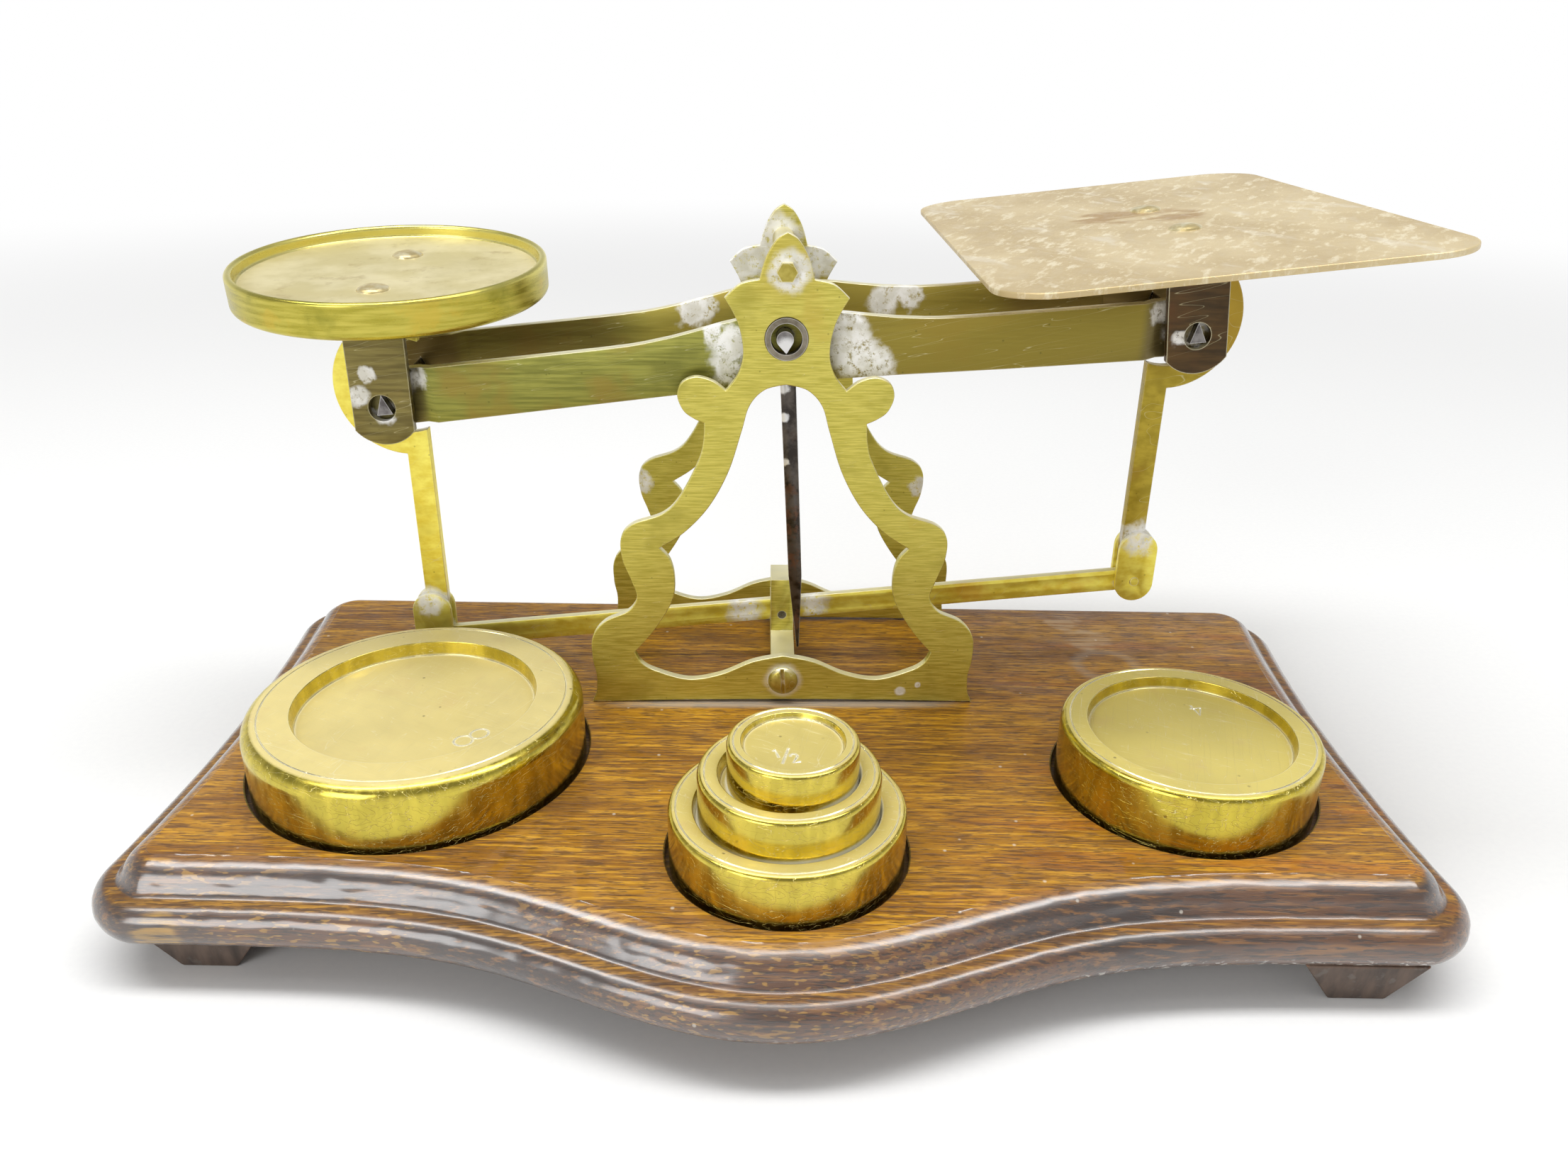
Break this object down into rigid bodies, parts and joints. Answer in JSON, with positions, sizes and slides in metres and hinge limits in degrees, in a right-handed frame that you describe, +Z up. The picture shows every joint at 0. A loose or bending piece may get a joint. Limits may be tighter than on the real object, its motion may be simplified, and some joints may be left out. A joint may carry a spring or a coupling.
{
  "type": "postal scale",
  "caption": "Equal arm letter balance with a round weight dish, a letter plate and a fretted brass frame on a moulded wooden base with nested brass weights.",
  "frame": {"origin": "middle of the outline seen from above, at the height of the table the feet stand on", "axes": "+X along the beam towards the letter plate, +Y to the back, +Z up"},
  "size_m": [0.2041, 0.1351, 0.1028],
  "materials": {
    "board_wood": "french polished walnut brown with worn amber streaks",
    "feet_wood": "dark stained wood, dull",
    "frame_brass": "brushed sheet brass, greenish yellow",
    "bar_brass": "old polished brass with pale residue in the corners",
    "leg_brass": "warm yellow brass, lightly worn",
    "bracket_brass": "brown patina over brass",
    "dish_brass": "turned and polished, with a dull tan floor",
    "plate_brass": "dull pinkish tan sheet brass with a bright edge",
    "rivet_brass": "worn bright on the heads",
    "weight_brass": "turned brass, polished sides and satin tops",
    "dark_steel": "dark steel with traces of rust",
    "ring_steel": "grey steel"
  },
  "bodies": {
    "stand": {"base_board": "board_wood", "feet": "feet_wood", "front_frame_plate": "frame_brass", "rear_frame_plate": "frame_brass", "bearing_rings": "ring_steel", "top_stretcher": "frame_brass", "cross_bar": "bar_brass", "post_pin": "dark_steel", "frame_screws": "frame_brass", "base_screw": "dark_steel"},
    "beam": {"front_beam_bar": "bar_brass", "rear_beam_bar": "bar_brass", "centre_knife": "dark_steel", "left_knife": "dark_steel", "right_knife": "dark_steel", "pointer": "dark_steel", "pointer_rivet": "bar_brass"},
    "dish_hanger": {"left_bracket": "bracket_brass", "left_leg": "leg_brass", "left_fork": "leg_brass", "left_fork_pin": "leg_brass", "dish": "dish_brass", "left_rivets": "rivet_brass"},
    "letter_hanger": {"right_bracket": "bracket_brass", "right_leg": "leg_brass", "right_fork": "leg_brass", "right_fork_pin": "leg_brass", "letter_plate": "plate_brass", "right_rivets": "rivet_brass"},
    "link": {"lower_link": "leg_brass"},
    "eight_ounces": {"weight_8oz": "weight_brass"},
    "four_ounces": {"weight_4oz": "weight_brass"},
    "two_ounces": {"weight_2oz": "weight_brass"},
    "one_ounce": {"weight_1oz": "weight_brass"},
    "half_ounce": {"weight_half_oz": "weight_brass"}
  },
  "joints": [
    {"name": "beam_swing", "type": "hinge", "parent": "stand", "child": "beam", "pos_m": [0, 0.02055, 0.08086], "axis": [0, 1, 0], "range_deg": [0, 11]},
    {"name": "dish_hanger_swing", "type": "hinge", "parent": "beam", "child": "dish_hanger", "pos_m": [-0.06515, 0.02055, 0.07308], "axis": [0, 1, 0], "range_deg": [-11, 0]},
    {"name": "letter_hanger_swing", "type": "hinge", "parent": "beam", "child": "letter_hanger", "pos_m": [0.06544, 0.02055, 0.08565], "axis": [0, 1, 0], "range_deg": [-11, 0]},
    {"name": "link_swing", "type": "hinge", "parent": "stand", "child": "link", "pos_m": [0, 0.02055, 0.0286], "axis": [0, 1, 0], "range_deg": [0, 11]},
    {"name": "lift_8oz", "type": "slide", "parent": "stand", "child": "eight_ounces", "axis": [0, 0, 1], "range_m": [0, 0.03]},
    {"name": "lift_4oz", "type": "slide", "parent": "stand", "child": "four_ounces", "axis": [0, 0, 1], "range_m": [0, 0.03]},
    {"name": "lift_2oz", "type": "slide", "parent": "stand", "child": "two_ounces", "axis": [0, 0, 1], "range_m": [0, 0.03]},
    {"name": "lift_1oz", "type": "slide", "parent": "two_ounces", "child": "one_ounce", "axis": [0, 0, 1], "range_m": [0, 0.03]},
    {"name": "lift_half_oz", "type": "slide", "parent": "one_ounce", "child": "half_ounce", "axis": [0, 0, 1], "range_m": [0, 0.03]}
  ],
  "couplings": [
    {"joint": "dish_hanger_swing", "follows": "beam_swing", "ratio": -1},
    {"joint": "letter_hanger_swing", "follows": "beam_swing", "ratio": -1},
    {"joint": "link_swing", "follows": "beam_swing", "ratio": 1}
  ]
}
